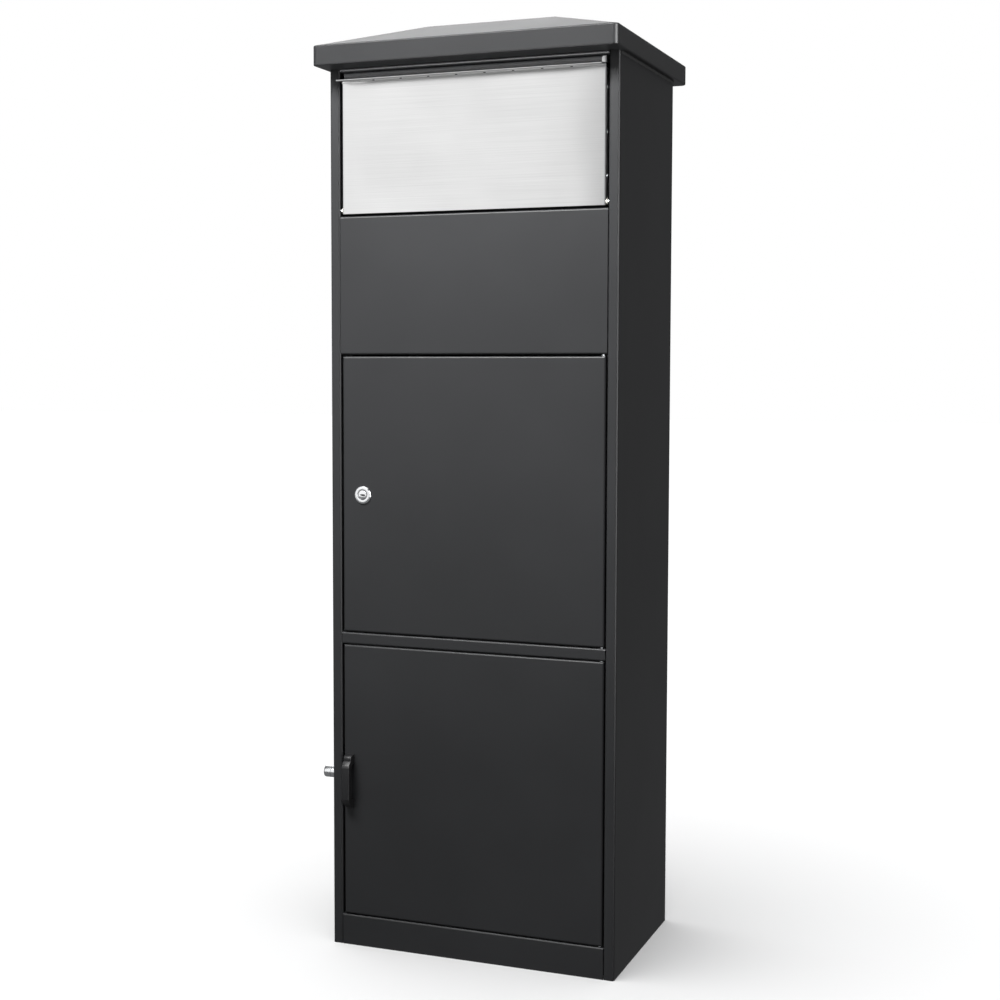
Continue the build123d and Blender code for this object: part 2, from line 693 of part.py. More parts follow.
with BuildPart() as handle_screws:
    for z in handle_screw_z:
        rod_y(handle_screw / 2, handle_x, (front - 5, front + sheet), z)
        rod_y(3.6, handle_x, (front + sheet, front + sheet + 2.4), z)
    head_rims = handle_screws.edges().sort_by(Axis.Y)[-2:]
    fillet(head_rims, 1.0)
write(handle_screws, "handle_screws")
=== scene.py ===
from math import pi, radians

import bmesh
import bpy
from mathutils import Matrix, Vector


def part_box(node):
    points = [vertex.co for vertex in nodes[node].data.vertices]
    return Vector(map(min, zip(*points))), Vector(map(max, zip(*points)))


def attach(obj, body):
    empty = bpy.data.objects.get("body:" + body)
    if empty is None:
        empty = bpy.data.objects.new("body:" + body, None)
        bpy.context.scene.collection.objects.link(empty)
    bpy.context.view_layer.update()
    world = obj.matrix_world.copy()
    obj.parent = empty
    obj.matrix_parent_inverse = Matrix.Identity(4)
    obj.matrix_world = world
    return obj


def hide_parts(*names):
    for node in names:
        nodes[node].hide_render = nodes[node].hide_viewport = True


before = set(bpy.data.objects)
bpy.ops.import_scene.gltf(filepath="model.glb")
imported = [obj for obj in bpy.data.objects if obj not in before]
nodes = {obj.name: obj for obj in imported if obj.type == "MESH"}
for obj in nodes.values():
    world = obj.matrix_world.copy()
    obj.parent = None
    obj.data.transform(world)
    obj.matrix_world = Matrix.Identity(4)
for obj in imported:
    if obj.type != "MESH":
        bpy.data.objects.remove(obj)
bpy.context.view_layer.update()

# ---------------------------------------------------------------------------
# Camera. A standing locker seen from its front right, from two thirds of its
# height, with a normal lens.
camera_data = bpy.data.cameras.new("camera")
camera_data.lens = 61.0
camera_data.sensor_width = 36.0
camera_data.shift_x = 0.056
camera_data.shift_y = -0.018
camera_data.clip_start = 0.05
camera_data.clip_end = 100.0
camera = bpy.data.objects.new("camera", camera_data)
camera.location = (0.7986, -2.191, 0.7991)
camera.rotation_euler = (radians(85.9), 0.0, radians(22.06))
bpy.context.scene.collection.objects.link(camera)
bpy.context.scene.camera = camera

# ---------------------------------------------------------------------------
# Studio. A white paper floor with a lamp of its own, a plain white surround, a
# dim one for the object, and soft boxes around it. Some lamps serve one piece.
bpy.context.scene.view_settings.view_transform = "Standard"
world = bpy.data.worlds.new("studio")
bpy.context.scene.world = world
world.use_nodes = True
surround = world.node_tree
surround.nodes.clear()
seen = surround.nodes.new("ShaderNodeBackground")
seen.inputs["Color"].default_value = (1.0, 1.0, 1.0, 1.0)
seen.inputs["Strength"].default_value = 1.0
ambient = surround.nodes.new("ShaderNodeBackground")
ambient.inputs["Color"].default_value = (0.97, 0.98, 1.0, 1.0)
ambient.inputs["Strength"].default_value = 0.17
path = surround.nodes.new("ShaderNodeLightPath")
pick = surround.nodes.new("ShaderNodeMixShader")
surround.links.new(path.outputs["Is Camera Ray"], pick.inputs["Fac"])
surround.links.new(ambient.outputs["Background"], pick.inputs[1])
surround.links.new(seen.outputs["Background"], pick.inputs[2])
surface = surround.nodes.new("ShaderNodeOutputWorld")
surround.links.new(pick.outputs["Shader"], surface.inputs["Surface"])


def light_link(lamp_object, thing, state):
    """Makes a lamp light one thing alone (INCLUDE) or everything but it (EXCLUDE)."""
    lit = lamp_object.light_linking.receiver_collection
    if lit is None:
        lit = bpy.data.collections.new(lamp_object.name + "_lights")
        lamp_object.light_linking.receiver_collection = lit
    lit.objects.link(thing)
    lit.collection_objects[-1].light_linking.link_state = state


def soft_box(name, place, target, size, power, spread=180.0):
    """A square soft box that stands at a place and faces a target."""
    lamp = bpy.data.lights.new(name, "AREA")
    lamp.shape = "RECTANGLE"
    lamp.size, lamp.size_y = size
    lamp.energy = power
    lamp.spread = radians(spread)
    stand = bpy.data.objects.new(name, lamp)
    stand.location = place
    aim = Vector(target) - Vector(place)
    stand.rotation_euler = aim.to_track_quat("-Z", "Y").to_euler()
    stand.visible_camera = False
    bpy.context.scene.collection.objects.link(stand)
    return stand


paper = bpy.data.materials.new("floor_paper")
paper.use_nodes = True
paper_shader = paper.node_tree.nodes["Principled BSDF"]
paper_shader.inputs["Base Color"].default_value = (0.9, 0.9, 0.9, 1.0)
paper_shader.inputs["Roughness"].default_value = 0.9
floor_mesh = bpy.data.meshes.new("floor")
sweep = bmesh.new()
bmesh.ops.create_grid(sweep, x_segments=1, y_segments=1, size=20.0)
sweep.to_mesh(floor_mesh)
sweep.free()
floor_mesh.materials.append(paper)
floor = bpy.data.objects.new("floor", floor_mesh)
bpy.context.scene.collection.objects.link(floor)
floor.visible_glossy = False
floor.visible_diffuse = False

wide_sun = bpy.data.lights.new("floor_light", "SUN")
wide_sun.energy = 3.45
wide_sun.angle = radians(60.0)
floor_light = bpy.data.objects.new("floor_light", wide_sun)
floor_light.rotation_euler = (radians(8.0), radians(-6.0), 0.0)
bpy.context.scene.collection.objects.link(floor_light)
light_link(floor_light, floor, "INCLUDE")

roof = nodes["roof_cap"]
front_sheets = [
    nodes[name]
    for name in ("middle_door_panel", "bottom_door_panel", "upper_front_panel", "top_plate", "hopper_front")
]
above_lip = [nodes["top_plate"], nodes["hopper_front"]]

# Lamps for the whole object, each leaving out the floor and the pieces named after it
key_box = soft_box("key_box", (-0.35, -1.2, 2.1), (-0.02, -0.15, 1.14), (1.1, 0.5), 17.0, 72.0)
right_strip = soft_box("right_strip", (1.9, -1.0, 1.1), (0.0, 0.0, 0.9), (2.0, 2.2), 80.0)
right_strip.visible_diffuse = False
rear_box = soft_box("rear_box", (-1.2, 3.1, 1.6), (0.0, 0.0, 0.7), (2.6, 3.2), 32.0)
overhead_box = soft_box("overhead_box", (0.0, 0.1, 3.4), (0.0, 0.0, 0.0), (2.4, 2.4), 42.0)
front_left_box = soft_box("front_left_box", (-1.5, -3.0, 1.6), (0.0, 0.0, 0.7), (2.6, 3.2), 25.5)
back_box = soft_box("back_box", (-1.25, 3.1, 2.45), (0.0, 0.0, 1.2), (2.6, 1.4), 17.0)
for lamp, left_out in (
    (key_box, [roof]),
    (right_strip, front_sheets),
    (rear_box, [roof]),
    (overhead_box, []),
    (front_left_box, []),
    (back_box, []),
):
    for thing in [floor, *left_out]:
        light_link(lamp, thing, "EXCLUDE")

# Lamps for the roof alone, and one for the sheets above the hopper's lip
corner_strip = soft_box("corner_strip", (1.92, -0.85, 1.3), (0.0, 0.0, 1.2), (0.8, 1.2), 75.0)
corner_strip.visible_diffuse = False
roof_key = soft_box("roof_key", (-0.35, -1.2, 2.1), (-0.02, -0.15, 1.14), (1.1, 0.5), 11.0, 72.0)
roof_back = soft_box("roof_back", (-0.6, 3.1, 2.7), (0.0, 0.0, 1.2), (2.8, 1.4), 15.0)
soffit_fill = soft_box("soffit_fill", (-0.35, -0.9, 0.15), (0.0, -0.15, 1.18), (0.7, 0.4), 9.0)
header_fill = soft_box("header_fill", (-0.3, -1.5, 0.75), (0.0, -0.15, 1.18), (1.0, 0.6), 50.0)
for lamp, lit in (
    (corner_strip, [roof]),
    (roof_key, [roof]),
    (roof_back, [roof]),
    (soffit_fill, [roof]),
    (header_fill, above_lip),
):
    for thing in lit:
        light_link(lamp, thing, "INCLUDE")

# ---------------------------------------------------------------------------
# Cabinet sheets: side panels, back, shelf, plinth, top and fixed front panel.
# Folded 1.5 mm steel, welded, with a satin charcoal powder coat.


def powder_coat(name, dark, light, roughness):
    """Satin powder coat: cloudy tone, orange peel and fine sparkle-free grain."""
    coat = bpy.data.materials.new(name)
    coat.use_nodes = True
    tree = coat.node_tree
    shader = tree.nodes["Principled BSDF"]
    shader.inputs["IOR"].default_value = 1.45
    shader.inputs["Specular IOR Level"].default_value = 0.3
    place = tree.nodes.new("ShaderNodeTexCoord")

    cloud = tree.nodes.new("ShaderNodeTexNoise")
    cloud.inputs["Scale"].default_value = 5.0
    cloud.inputs["Detail"].default_value = 3.0
    tree.links.new(place.outputs["Object"], cloud.inputs["Vector"])
    grain = tree.nodes.new("ShaderNodeTexNoise")
    grain.inputs["Scale"].default_value = 900.0
    grain.inputs["Detail"].default_value = 2.0
    tree.links.new(place.outputs["Object"], grain.inputs["Vector"])
    blend = tree.nodes.new("ShaderNodeMix")
    blend.data_type = "FLOAT"
    blend.inputs["Factor"].default_value = 0.35
    tree.links.new(cloud.outputs["Fac"], blend.inputs["A"])
    tree.links.new(grain.outputs["Fac"], blend.inputs["B"])
    tone = tree.nodes.new("ShaderNodeValToRGB")
    tone.color_ramp.elements[0].position = 0.3
    tone.color_ramp.elements[0].color = dark
    tone.color_ramp.elements[1].position = 0.7
    tone.color_ramp.elements[1].color = light
    tree.links.new(blend.outputs["Result"], tone.inputs["Fac"])
    tree.links.new(tone.outputs["Color"], shader.inputs["Base Color"])

    sheen = tree.nodes.new("ShaderNodeMapRange")
    sheen.inputs["To Min"].default_value = roughness - 0.05
    sheen.inputs["To Max"].default_value = roughness + 0.06
    tree.links.new(cloud.outputs["Fac"], sheen.inputs["Value"])
    tree.links.new(sheen.outputs["Result"], shader.inputs["Roughness"])

    peel = tree.nodes.new("ShaderNodeTexNoise")
    peel.inputs["Scale"].default_value = 420.0
    peel.inputs["Detail"].default_value = 1.5
    tree.links.new(place.outputs["Object"], peel.inputs["Vector"])
    bump = tree.nodes.new("ShaderNodeBump")
    bump.inputs["Strength"].default_value = 0.12
    bump.inputs["Distance"].default_value = 0.0004
    tree.links.new(peel.outputs["Fac"], bump.inputs["Height"])
    tree.links.new(bump.outputs["Normal"], shader.inputs["Normal"])
    return coat


def finish(material, *names):
    """Puts a material on named nodes."""
    for name in names:
        for slot in nodes[name].material_slots:
            slot.material = material


charcoal = powder_coat(
    "charcoal_powder_coat", dark=(0.020, 0.0205, 0.0215, 1), light=(0.026, 0.0265, 0.028, 1), roughness=0.38
)
finish(charcoal, "left_side_panel", "right_side_panel", "back_panel", "front_plinth", "shelf")
finish(charcoal, "upper_front_panel", "top_plate")

# ---------------------------------------------------------------------------
# Inside sheets: base plate, baffle, hopper cheeks and floor, door stiffeners.
# The same powder coat on less exposed sheet, a little lighter and flatter.
inner_coat = powder_coat(
    "inner_powder_coat", dark=(0.045, 0.046, 0.048, 1), light=(0.058, 0.059, 0.062, 1), roughness=0.55
)
finish(inner_coat, "base_plate", "baffle_plate", "hopper_left_cheek", "hopper_right_cheek")
finish(inner_coat, "hopper_floor", "middle_door_stiffener", "bottom_door_stiffener")

# ---------------------------------------------------------------------------
# Doors and the hopper's painted wall: sheet-steel pans with rounded front
# edges, corner-welded and coated charcoal before they are hung on their pins.
finish(charcoal, "middle_door_panel", "bottom_door_panel", "hopper_front")

# ---------------------------------------------------------------------------
# Roof: a hipped cap of 1.5 mm steel with a fascia and a soffit, welded and
# ground at the corners, powder-coated, and bolted down from inside.
finish(charcoal, "roof_cap")

# ---------------------------------------------------------------------------
# Hopper cover: 1.2 mm stainless sheet, brushed along its width. It is folded at
# the top into a hemmed lip, with relief slots along the bend, and riveted by its
# side flanges to the hopper's cheeks.


def brushed(name, colour, roughness, stretch, strength):
    """Bare metal with fine brush lines, stretched along the axis of the smallest scale."""
    steel = bpy.data.materials.new(name)
    steel.use_nodes = True
    tree = steel.node_tree
    shader = tree.nodes["Principled BSDF"]
    shader.inputs["Metallic"].default_value = 1.0
    shader.inputs["Anisotropic"].default_value = 0.55
    place = tree.nodes.new("ShaderNodeTexCoord")
    along = tree.nodes.new("ShaderNodeMapping")
    along.inputs["Scale"].default_value = stretch
    tree.links.new(place.outputs["Object"], along.inputs["Vector"])
    lines = tree.nodes.new("ShaderNodeTexNoise")
    lines.inputs["Scale"].default_value = 1.0
    lines.inputs["Detail"].default_value = 4.0
    tree.links.new(along.outputs["Vector"], lines.inputs["Vector"])
    smudge = tree.nodes.new("ShaderNodeTexNoise")
    smudge.inputs["Scale"].default_value = 9.0
    smudge.inputs["Detail"].default_value = 3.0
    tree.links.new(place.outputs["Object"], smudge.inputs["Vector"])
    tone = tree.nodes.new("ShaderNodeValToRGB")
    tone.color_ramp.elements[0].position = 0.25
    tone.color_ramp.elements[0].color = (*[0.88 * part for part in colour], 1)
    tone.color_ramp.elements[1].position = 0.75
    tone.color_ramp.elements[1].color = (*colour, 1)
    tree.links.new(lines.outputs["Fac"], tone.inputs["Fac"])
    tree.links.new(tone.outputs["Color"], shader.inputs["Base Color"])
    gloss = tree.nodes.new("ShaderNodeMapRange")
    gloss.inputs["To Min"].default_value = roughness - 0.05
    gloss.inputs["To Max"].default_value = roughness + 0.07
    tree.links.new(smudge.outputs["Fac"], gloss.inputs["Value"])
    tree.links.new(gloss.outputs["Result"], shader.inputs["Roughness"])
    bump = tree.nodes.new("ShaderNodeBump")
    bump.inputs["Strength"].default_value = strength
    bump.inputs["Distance"].default_value = 0.0001
    tree.links.new(lines.outputs["Fac"], bump.inputs["Height"])
    tree.links.new(bump.outputs["Normal"], shader.inputs["Normal"])
    return steel


stainless = brushed(
    "brushed_stainless", colour=(0.95, 0.95, 0.945), roughness=0.32, stretch=(6.0, 900.0, 1400.0),
    strength=0.12,
)

low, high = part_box("hopper_cover")
cover_steel = 0.0012
half_steel = cover_steel / 2
cover_half = high.x - half_steel
face_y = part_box("middle_door_panel")[0].y + half_steel
lip_front_y = low.y
lip_root_z = 1.1695 - half_steel
lip_edge_z = 1.1675 - half_steel
hem_radius = 0.00068
hem_depth = 0.007
bend_radius = 0.0022
flange_top_z = 1.1640
flange_depth = high.y - face_y - half_steel
notch_pitch = 0.039
notch_count = 8
notch_width = 0.0034
slot_low_tilt = 0.05
slot_high_tilt = 0.995
fold_radius = 0.0013
merge_gap = 0.00005


def folded_sheet(name, sheet_mesh, thickness, material):
    """A piece of folded sheet: the middle surface is given, and gets its thickness and soft edges."""
    bmesh.ops.remove_doubles(sheet_mesh, verts=sheet_mesh.verts[:], dist=0.00002)
    bmesh.ops.recalc_face_normals(sheet_mesh, faces=sheet_mesh.faces[:])
    for face in sheet_mesh.faces:
        face.smooth = True
    mesh = bpy.data.meshes.new(name)
    sheet_mesh.to_mesh(mesh)
    sheet_mesh.free()
    mesh.materials.append(material)
    piece = bpy.data.objects.new(name, mesh)
    bpy.context.scene.collection.objects.link(piece)
    wall = piece.modifiers.new("thickness", "SOLIDIFY")
    wall.thickness = thickness
    wall.offset = 0.0
    wall.use_even_offset = True
    soft = piece.modifiers.new("edges", "BEVEL")
    soft.width = 0.0002
    soft.segments = 2
    soft.limit_method = "ANGLE"
    soft.angle_limit = radians(50.0)
    soft.harden_normals = True
    return piece


steel = bmesh.new()
lip_end = steel.verts.new((-cover_half, lip_front_y + hem_radius + half_steel, lip_edge_z))
root = steel.verts.new((-cover_half, face_y, lip_root_z))
shoulder = steel.verts.new((-cover_half, face_y, flange_top_z))
foot = steel.verts.new((-cover_half, face_y, low.z))
for pair in ((foot, shoulder), (shoulder, root), (root, lip_end)):
    steel.edges.new(pair)
hem_centre = lip_end.co - Vector((0.0, 0.0, hem_radius))
bmesh.ops.spin(
    steel, geom=[lip_end], cent=hem_centre, axis=(1.0, 0.0, 0.0), angle=pi, steps=8, use_duplicate=False
)
hem_start = min(steel.verts, key=lambda vert: (vert.co - hem_centre + Vector((0, 0, hem_radius))).length)
grown = bmesh.ops.extrude_vert_indiv(steel, verts=[hem_start])
hem_rise = (lip_root_z - lip_edge_z) / (face_y - lip_front_y)
bmesh.ops.translate(steel, verts=grown["verts"], vec=(0.0, hem_depth, hem_depth * hem_rise))
across = bmesh.ops.extrude_edge_only(steel, edges=steel.edges[:])
moved = [item for item in across["geom"] if isinstance(item, bmesh.types.BMVert)]
bmesh.ops.translate(steel, verts=moved, vec=(2 * cover_half, 0.0, 0.0))


def long_edges_at(mesh, y, z):
    """Edges along X whose middle lies at this y and z."""
    found = []
    for edge in mesh.edges:
        middle = (edge.verts[0].co + edge.verts[1].co) / 2
        runs_along = abs(edge.verts[0].co.x - edge.verts[1].co.x) > 0.001
        if runs_along and abs(middle.y - y) < merge_gap and abs(middle.z - z) < merge_gap:
            found.append(edge)
    return found


bmesh.ops.bevel(
    steel, geom=long_edges_at(steel, face_y, lip_root_z), offset=bend_radius, offset_type="OFFSET",
    affect="EDGES", segments=7, profile=0.5, material=-1,
)
for step in range(notch_count):
    middle = (step - (notch_count - 1) / 2) * notch_pitch
    for x in (middle - notch_width / 2, middle + notch_width / 2):
        whole = steel.verts[:] + steel.edges[:] + steel.faces[:]
        bmesh.ops.bisect_plane(steel, geom=whole, dist=0.000001, plane_co=(x, 0, 0), plane_no=(1, 0, 0))
steel.normal_update()
slots = []
for face in steel.faces:
    spot = face.calc_center_median()
    nearest = round(spot.x / notch_pitch - 0.5) + 0.5
    on_notch = abs(nearest) < notch_count / 2 and abs(spot.x - nearest * notch_pitch) < notch_width / 2
    on_bend = abs(spot.y - face_y) < bend_radius and abs(spot.z - lip_root_z) < bend_radius
    if on_notch and on_bend and slot_low_tilt < abs(face.normal.y) < slot_high_tilt:
        slots.append(face)
bmesh.ops.delete(steel, geom=slots, context="FACES")

# The side flanges are folded back into the gaps beside the hopper.
sides = []
for edge in steel.edges:
    ends = [vert.co for vert in edge.verts]
    upright = abs(ends[0].z - ends[1].z) > 0.01 and abs(ends[0].x - ends[1].x) < 0.00001
    if upright and all(abs(abs(end.x) - cover_half) < 0.00001 for end in ends):
        sides.append(edge)
returned = bmesh.ops.extrude_edge_only(steel, edges=sides)
moved = [item for item in returned["geom"] if isinstance(item, bmesh.types.BMVert)]
bmesh.ops.translate(steel, verts=moved, vec=(0.0, flange_depth, 0.0))
bmesh.ops.bevel(
    steel, geom=sides, offset=fold_radius, offset_type="OFFSET", affect="EDGES", segments=5, profile=0.5,
    material=-1,
)

# The right flange ends in a round-topped ear above the lip.
ear_width = 0.0056
ear_depth = 0.0074
ear_round = 0.0028
ear_low = lip_root_z + half_steel + 0.0002
ear_high = high.z - 0.0001
ear = bmesh.new()
ear_places = (
    (cover_half - ear_width, face_y, ear_low),
    (cover_half, face_y, ear_low),
    (cover_half, face_y + ear_depth, ear_low),
)
ear_verts = [ear.verts.new(place) for place in ear_places]
ear.edges.new(ear_verts[:2])
ear.edges.new(ear_verts[1:])
raised = bmesh.ops.extrude_edge_only(ear, edges=ear.edges[:])
moved = [item for item in raised["geom"] if isinstance(item, bmesh.types.BMVert)]
bmesh.ops.translate(ear, verts=moved, vec=(0.0, 0.0, ear_high - ear_low))
corner = min(ear.verts, key=lambda vert: vert.co.x - vert.co.z)
bmesh.ops.bevel(
    ear, geom=[corner], offset=ear_round, offset_type="OFFSET", affect="VERTICES", segments=6, profile=0.5,
    material=-1,
)
fold = [edge for edge in ear.edges if len(edge.link_faces) == 2]
bmesh.ops.bevel(
    ear, geom=fold, offset=fold_radius, offset_type="OFFSET", affect="EDGES", segments=5, profile=0.5,
    material=-1,
)
ear_mesh = bpy.data.meshes.new("ear_outline")
ear.to_mesh(ear_mesh)
ear.free()
steel.from_mesh(ear_mesh)
bpy.data.meshes.remove(ear_mesh)
cover = folded_sheet("stainless_cover", steel, cover_steel, stainless)
light_link(key_box, cover, "EXCLUDE")
light_link(right_strip, cover, "EXCLUDE")
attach(cover, "hopper")
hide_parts("hopper_cover")

# ---------------------------------------------------------------------------
# Hardware: hinge and pivot pins, nuts, bolts, rivets, screws, the cam, the
# keeper and the push lock's bolt and spring, all steel with bright zinc plate.
zinc = brushed(
    "zinc_plate", colour=(0.60, 0.62, 0.64), roughness=0.34, stretch=(300.0, 300.0, 300.0), strength=0.08
)
finish(zinc, "back_rivets", "roof_bolts", "roof_nuts", "middle_hinge_pins", "bottom_hinge_pins")
finish(zinc, "hopper_pivot_pins", "push_lock_nut", "hopper_rivets", "cam_lock_nut", "cam_lever")
finish(zinc, "cam_screw", "handle_screws", "latch_keeper", "push_lock_bolt", "push_lock_spring")

# ---------------------------------------------------------------------------
# Cam lock of the middle door: a chromed zinc casting with a rolled rim on its
# flange, held by a nut behind the sheet, and in it a plug with a key slot.


def polished(name, colour, roughness):
    """Cast and plated metal with a faint haze."""
    metal = bpy.data.materials.new(name)
    metal.use_nodes = True
    tree = metal.node_tree
    shader = tree.nodes["Principled BSDF"]
    shader.inputs["Base Color"].default_value = (*colour, 1)
    shader.inputs["Metallic"].default_value = 1.0
    place = tree.nodes.new("ShaderNodeTexCoord")
    haze = tree.nodes.new("ShaderNodeTexNoise")
    haze.inputs["Scale"].default_value = 120.0
    haze.inputs["Detail"].default_value = 3.0
    tree.links.new(place.outputs["Object"], haze.inputs["Vector"])
    gloss = tree.nodes.new("ShaderNodeMapRange")
    gloss.inputs["To Min"].default_value = roughness * 0.6
    gloss.inputs["To Max"].default_value = roughness * 1.4
    tree.links.new(haze.outputs["Fac"], gloss.inputs["Value"])
    tree.links.new(gloss.outputs["Result"], shader.inputs["Roughness"])
    return metal


chrome = polished("chrome", (0.82, 0.83, 0.84), 0.21)
# Near-black metal for the walls inside the key slots: painted shade. The real keyway is the plug's own
# metal and looks dark only from the shade in the recess.
keyway_painted_shade = polished("keyway_painted_shade", (0.012, 0.012, 0.012), 0.5)


def turned_piece(outline, centre, along, steps=64):
    """A closed lathe turning: pairs of radius and distance along an axis through the centre."""
    turning = bmesh.new()
    axis = Vector(along)
    out = Vector((0.0, 0.0, 1.0))
    ring = [turning.verts.new(Vector(centre) + axis * reach + out * radius) for radius, reach in outline]
    for first, second in zip(ring, ring[1:] + ring[:1]):
        turning.edges.new((first, second))
    bmesh.ops.spin(
        turning, geom=turning.verts[:] + turning.edges[:], cent=centre, axis=along, angle=2 * pi,
        steps=steps, use_merge=True, use_duplicate=False,
    )
    bmesh.ops.remove_doubles(turning, verts=turning.verts[:], dist=0.000004)
    return turning


def shaped_piece(name, shape, materials, body, cad_node):
    """Finishes a closed bmesh as a piece that stands for a CAD node."""
    bmesh.ops.recalc_face_normals(shape, faces=shape.faces[:])
    for face in shape.faces:
        face.smooth = True
    mesh = bpy.data.meshes.new(name)
    shape.to_mesh(mesh)
    shape.free()
    mesh.set_sharp_from_angle(angle=radians(28.0))
    for material in materials:
        mesh.materials.append(material)
    piece = bpy.data.objects.new(name, mesh)
    bpy.context.scene.collection.objects.link(piece)
    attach(piece, body)
    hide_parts(cad_node)


low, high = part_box("cam_lock_housing")
cam_centre = ((low.x + high.x) / 2, face_y - half_steel, (low.z + high.z) / 2)
body_end = high.y - cam_centre[1]
lathe = turned_piece([
    (0.00655, -0.0015), (0.0067, -0.0019), (0.0070, -0.002), (0.0106, -0.002), (0.0113, -0.00175),
    (0.0118, -0.0012), (0.012, -0.0004), (0.012, 0.0), (0.009, 0.0), (0.009, body_end - 0.0006),
    (0.0085, body_end), (0.00655, body_end),
], cam_centre, (0.0, 1.0, 0.0))
shaped_piece("cam_lock_bezel", lathe, [chrome], "middle_door", "cam_lock_housing")


def key_plug(centre, along, radius, slot_long, slot_wide, length, face_reach):
    """A round plug with a rounded rim and a lens-shaped key slot sunk in its face."""
    slot_depth = 0.007
    soft = 0.0003
    slight = 0.0001
    plug = bmesh.new()
    axis = Vector(along)
    turn = Vector((0.0, 0.0, 1.0)).rotation_difference(axis).to_matrix().to_4x4()
    place = Matrix.Translation(Vector(centre) + axis * face_reach) @ turn
    rings = (
        (slot_long / 2, slot_wide / 2, slot_depth), (slot_long / 2, slot_wide / 2, soft),
        (slot_long / 2 + soft, slot_wide / 2 + soft, 0.0), (radius - soft, radius - soft, 0.0),
        (radius - slight, radius - slight, slight), (radius, radius, soft + slight),
        (radius, radius, length),
    )
    loops = []
    for across, up, depth in rings:
        circle = bmesh.ops.create_circle(plug, cap_ends=False, segments=48, radius=1.0)
        bmesh.ops.scale(plug, verts=circle["verts"], vec=(across, up, 1.0))
        bmesh.ops.translate(plug, verts=circle["verts"], vec=(0.0, 0.0, depth))
        loops.append(circle["verts"])
    for first, second in zip(loops, loops[1:]):
        both = set(first) | set(second)
        rims = [edge for edge in plug.edges if set(edge.verts) <= both]
        rims = [edge for edge in rims if edge.is_wire or len(edge.link_faces) == 1]
        bmesh.ops.bridge_loops(plug, edges=rims)
    bmesh.ops.holes_fill(plug, edges=[edge for edge in plug.edges if len(edge.link_faces) == 1])
    # The faces sunk in the slot take the second material, a painted shade for the dark of the recess.
    for face in plug.faces:
        middle = face.calc_center_median()
        sunk = 2 * slight < middle.z < slot_depth + 2 * slight
        inside = sunk and middle.xy.length < slot_long / 2 + slight
        face.material_index = 1 if inside else 0
    bmesh.ops.transform(plug, matrix=place, verts=plug.verts[:])
    return plug


low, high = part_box("cam_lock_plug")
stub = 0.0025
drive_square = 0.007
drive_long = stub + 0.001
face_out = 0.0018
plug = key_plug(
    cam_centre, (0.0, 1.0, 0.0), radius=0.0065, slot_long=0.0076, slot_wide=0.0022,
    length=high.y - stub - cam_centre[1] + face_out, face_reach=-face_out,
)
drive = bmesh.ops.create_cube(plug, size=drive_square)
bmesh.ops.scale(plug, verts=drive["verts"], vec=(1.0, drive_long / drive_square, 1.0))
drive_centre = (cam_centre[0], high.y - drive_long / 2, cam_centre[2])
bmesh.ops.translate(plug, verts=drive["verts"], vec=drive_centre)
shaped_piece("cam_lock_key_plug", plug, [chrome, keyway_painted_shade], "cam_rotor", "cam_lock_plug")

# ---------------------------------------------------------------------------
# Push lock in the left wall: a chromed collar held by a nut inside, a sliding
# barrel with a grooved neck, and in it a brass plug with the key slot.
low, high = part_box("push_lock_housing")
push_centre = (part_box("left_side_panel")[0].x, (low.y + high.y) / 2, (low.z + high.z) / 2)
housing_end = high.x - push_centre[0]
lathe = turned_piece([
    (0.00805, -0.0014), (0.0084, -0.0019), (0.0092, -0.002), (0.0106, -0.00175), (0.0113, -0.0011),
    (0.0115, -0.0003), (0.0115, 0.0), (0.01, 0.0), (0.01, housing_end - 0.0006), (0.0094, housing_end),
    (0.00405, housing_end), (0.00405, housing_end - 0.002), (0.00805, housing_end - 0.002),
], push_centre, (1.0, 0.0, 0.0))
shaped_piece("push_lock_collar", lathe, [chrome], "cabinet", "push_lock_housing")

low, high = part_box("push_lock_barrel")
barrel_out = low.x - push_centre[0]
barrel_in = high.x - push_centre[0]
lathe = turned_piece([
    (0.00505, barrel_out + 0.0006), (0.0054, barrel_out + 0.0001), (0.0066, barrel_out),
    (0.0073, barrel_out + 0.0003), (0.0078, barrel_out + 0.0009), (0.008, barrel_out + 0.0018),
    (0.008, barrel_out + 0.0102), (0.0077, barrel_out + 0.0105), (0.0077, barrel_out + 0.0113),
    (0.008, barrel_out + 0.0116), (0.008, barrel_in), (0.004, barrel_in), (0.004, barrel_out + 0.014),
    (0.00505, barrel_out + 0.014),
], push_centre, (1.0, 0.0, 0.0))
shaped_piece("push_lock_button", lathe, [chrome], "push_barrel", "push_lock_barrel")

brass = polished("lock_brass", (0.72, 0.58, 0.32), 0.25)
low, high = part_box("push_lock_plug")
plug = key_plug(
    push_centre, (1.0, 0.0, 0.0), radius=0.005, slot_long=0.0068, slot_wide=0.0017,
    length=high.x - low.x, face_reach=low.x - push_centre[0],
)
shaped_piece(
    "push_lock_key_plug", plug, [brass, keyway_painted_shade], "push_plug", "push_lock_plug"
)

# ---------------------------------------------------------------------------
# Bow handle of the bottom door: a die-cast bar in black, whose two feet step
# back to the door. Two screws from inside the door hold it.


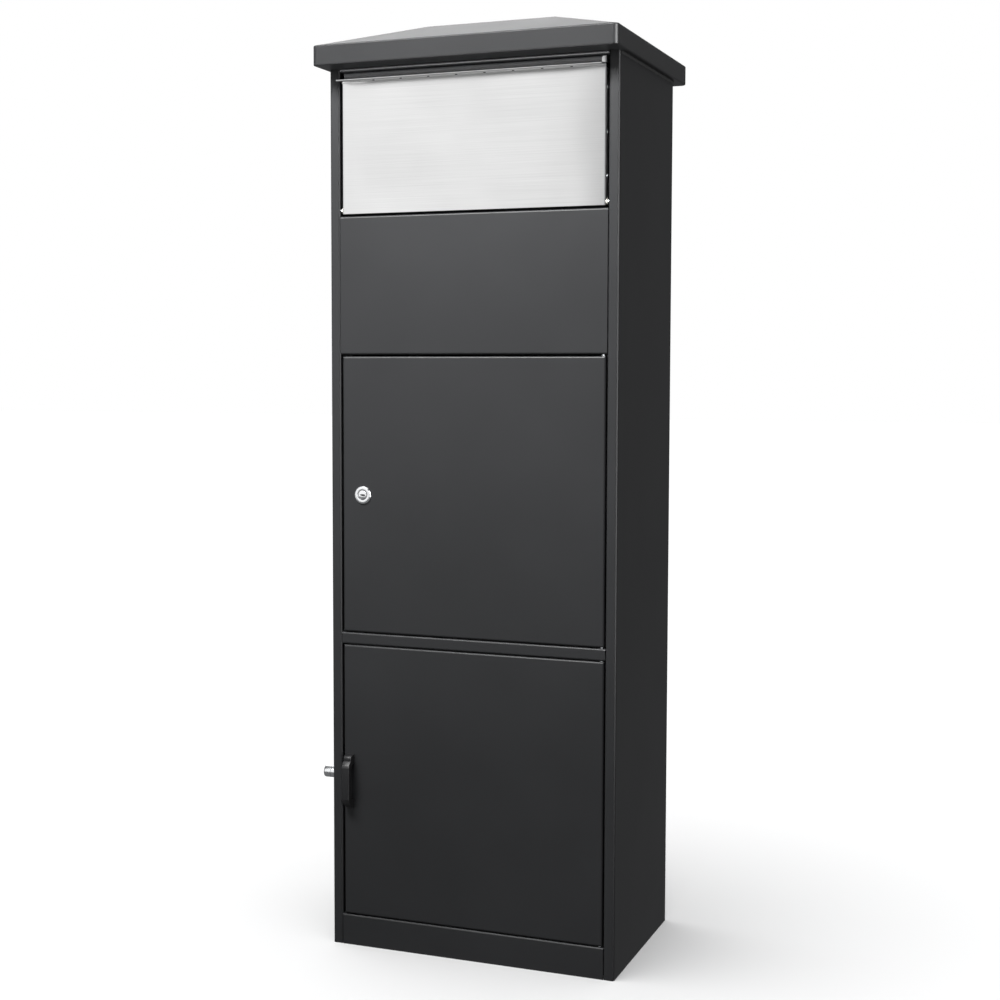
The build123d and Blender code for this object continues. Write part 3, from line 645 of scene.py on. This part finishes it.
def moulded(name, colour, roughness, scale, depth):
    """A cast or moulded surface with a fine even grain."""
    plastic = bpy.data.materials.new(name)
    plastic.use_nodes = True
    tree = plastic.node_tree
    shader = tree.nodes["Principled BSDF"]
    place = tree.nodes.new("ShaderNodeTexCoord")
    grain = tree.nodes.new("ShaderNodeTexNoise")
    grain.inputs["Scale"].default_value = scale
    grain.inputs["Detail"].default_value = 3.0
    tree.links.new(place.outputs["Object"], grain.inputs["Vector"])
    tone = tree.nodes.new("ShaderNodeValToRGB")
    tone.color_ramp.elements[0].color = (*[0.8 * part for part in colour], 1)
    tone.color_ramp.elements[1].color = (*[1.2 * part for part in colour], 1)
    tree.links.new(grain.outputs["Fac"], tone.inputs["Fac"])
    tree.links.new(tone.outputs["Color"], shader.inputs["Base Color"])
    gloss = tree.nodes.new("ShaderNodeMapRange")
    gloss.inputs["To Min"].default_value = roughness - 0.06
    gloss.inputs["To Max"].default_value = roughness + 0.06
    tree.links.new(grain.outputs["Fac"], gloss.inputs["Value"])
    tree.links.new(gloss.outputs["Result"], shader.inputs["Roughness"])
    bump = tree.nodes.new("ShaderNodeBump")
    bump.inputs["Strength"].default_value = 0.2
    bump.inputs["Distance"].default_value = depth
    tree.links.new(grain.outputs["Fac"], bump.inputs["Height"])
    tree.links.new(bump.outputs["Normal"], shader.inputs["Normal"])
    return plastic


black = moulded("black_handle", (0.010, 0.010, 0.011), 0.42, 1600.0, 0.0001)

# Its side view, in pairs of reach out of the door and drop below the handle's top
low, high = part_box("pull_handle")
front_y = high.y
reach = high.y - low.y
side_view = (
    (0.0, 0.0), (0.0078, -0.0006), (0.0108, -0.0028), (0.0112, -0.0060), (0.0104, -0.0076),
    (0.0122, -0.0084), (reach - 0.0012, -0.0128), (reach, -0.0158),
    (reach, -0.0598), (0.0138, -0.0652), (0.0065, -0.0722), (0.0, -0.0740),
    (0.0, -0.0625), (0.0080, -0.0590), (0.0108, -0.0540), (0.0108, -0.0200), (0.0080, -0.0145),
    (0.0, -0.0110),
)
bar = bmesh.new()
outline = [bar.verts.new((low.x, front_y - out, high.z + drop)) for out, drop in side_view]
bar.faces.new(outline)
grown = bmesh.ops.extrude_face_region(bar, geom=bar.faces[:])
moved = [item for item in grown["geom"] if isinstance(item, bmesh.types.BMVert)]
bmesh.ops.translate(bar, verts=moved, vec=(high.x - low.x, 0.0, 0.0))
off_door = [edge for edge in bar.edges if max(vert.co.y for vert in edge.verts) < front_y - 0.0001]
bmesh.ops.bevel(
    bar, geom=off_door, offset=0.0009, offset_type="OFFSET", affect="EDGES", segments=3, profile=0.5,
    material=-1, clamp_overlap=True,
)
shaped_piece("bow_handle", bar, [black], "bottom_door", "pull_handle")

# ---------------------------------------------------------------------------
# Rubber: three strips that seal the roof, and the small buffers that the
# hopper and the doors close against. Black, moulded and glued in place.
rubber = moulded("black_rubber", (0.010, 0.010, 0.010), 0.75, 900.0, 0.0002)
finish(rubber, "roof_seal", "hopper_buffers", "door_buffers")

# ---------------------------------------------------------------------------
# Bushes: white nylon sleeves pressed into the hopper's cheeks and the doors'
# top and bottom edges, in which the pins turn.
nylon = moulded("white_nylon", (0.62, 0.60, 0.54), 0.45, 700.0, 0.0001)
finish(nylon, "hopper_bushes", "middle_door_bushes", "bottom_door_bushes")
